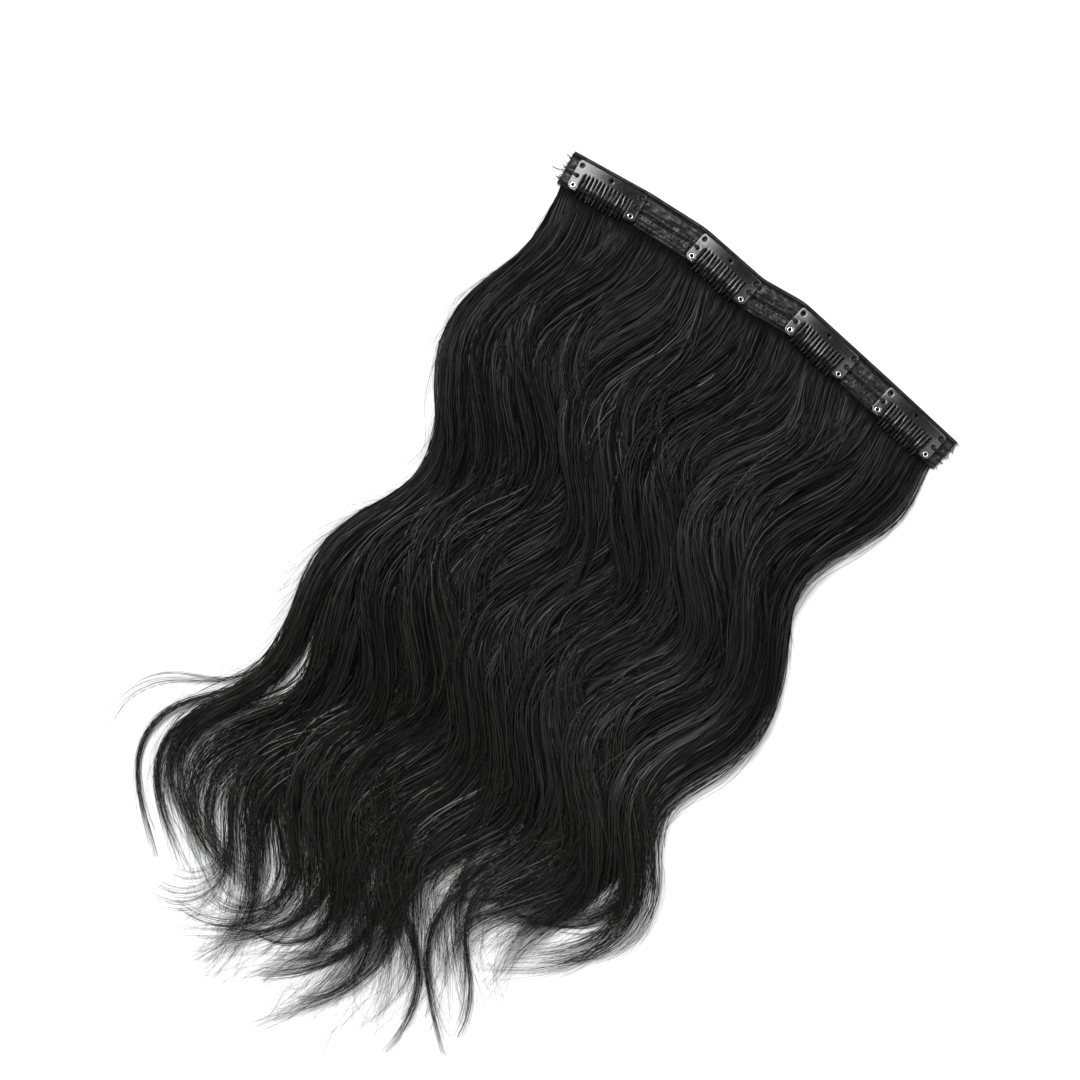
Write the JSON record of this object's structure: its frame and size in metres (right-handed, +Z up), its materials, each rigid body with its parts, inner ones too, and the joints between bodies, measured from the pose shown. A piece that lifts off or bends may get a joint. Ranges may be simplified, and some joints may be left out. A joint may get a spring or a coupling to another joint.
{
  "type": "clip-in hair extension",
  "caption": "Wavy black clip-in hair weft lying flat: a sewn band with riveted snap comb clips on its face and a sheet of body-wave hair falling from its lower edge.",
  "frame": {"origin": "middle of the band's flat underside, on the surface that the weft lies on", "axes": "+X along the band from its left end to its right end, seen with the clips up; the hair falls towards -Y; +Z up, out of the clips' faces"},
  "size_m": [0.2167, 0.364, 0.0126],
  "materials": {
    "hair": "satin",
    "band_tape": "satin",
    "clip_paint": "gloss",
    "rivet_plate": "polished"
  },
  "bodies": {
    "root": {"band": "band_tape", "hair": "hair", "clip_1_comb": "clip_paint", "clip_1_bar": "clip_paint", "clip_1_rivet_left": "rivet_plate", "clip_1_rivet_right": "rivet_plate", "clip_2_comb": "clip_paint", "clip_2_bar": "clip_paint", "clip_2_rivet_left": "rivet_plate", "clip_2_rivet_right": "rivet_plate", "clip_3_comb": "clip_paint", "clip_3_bar": "clip_paint", "clip_3_rivet_left": "rivet_plate", "clip_3_rivet_right": "rivet_plate", "clip_4_comb": "clip_paint", "clip_4_bar": "clip_paint", "clip_4_rivet_left": "rivet_plate", "clip_4_rivet_right": "rivet_plate"}
  },
  "joints": []
}
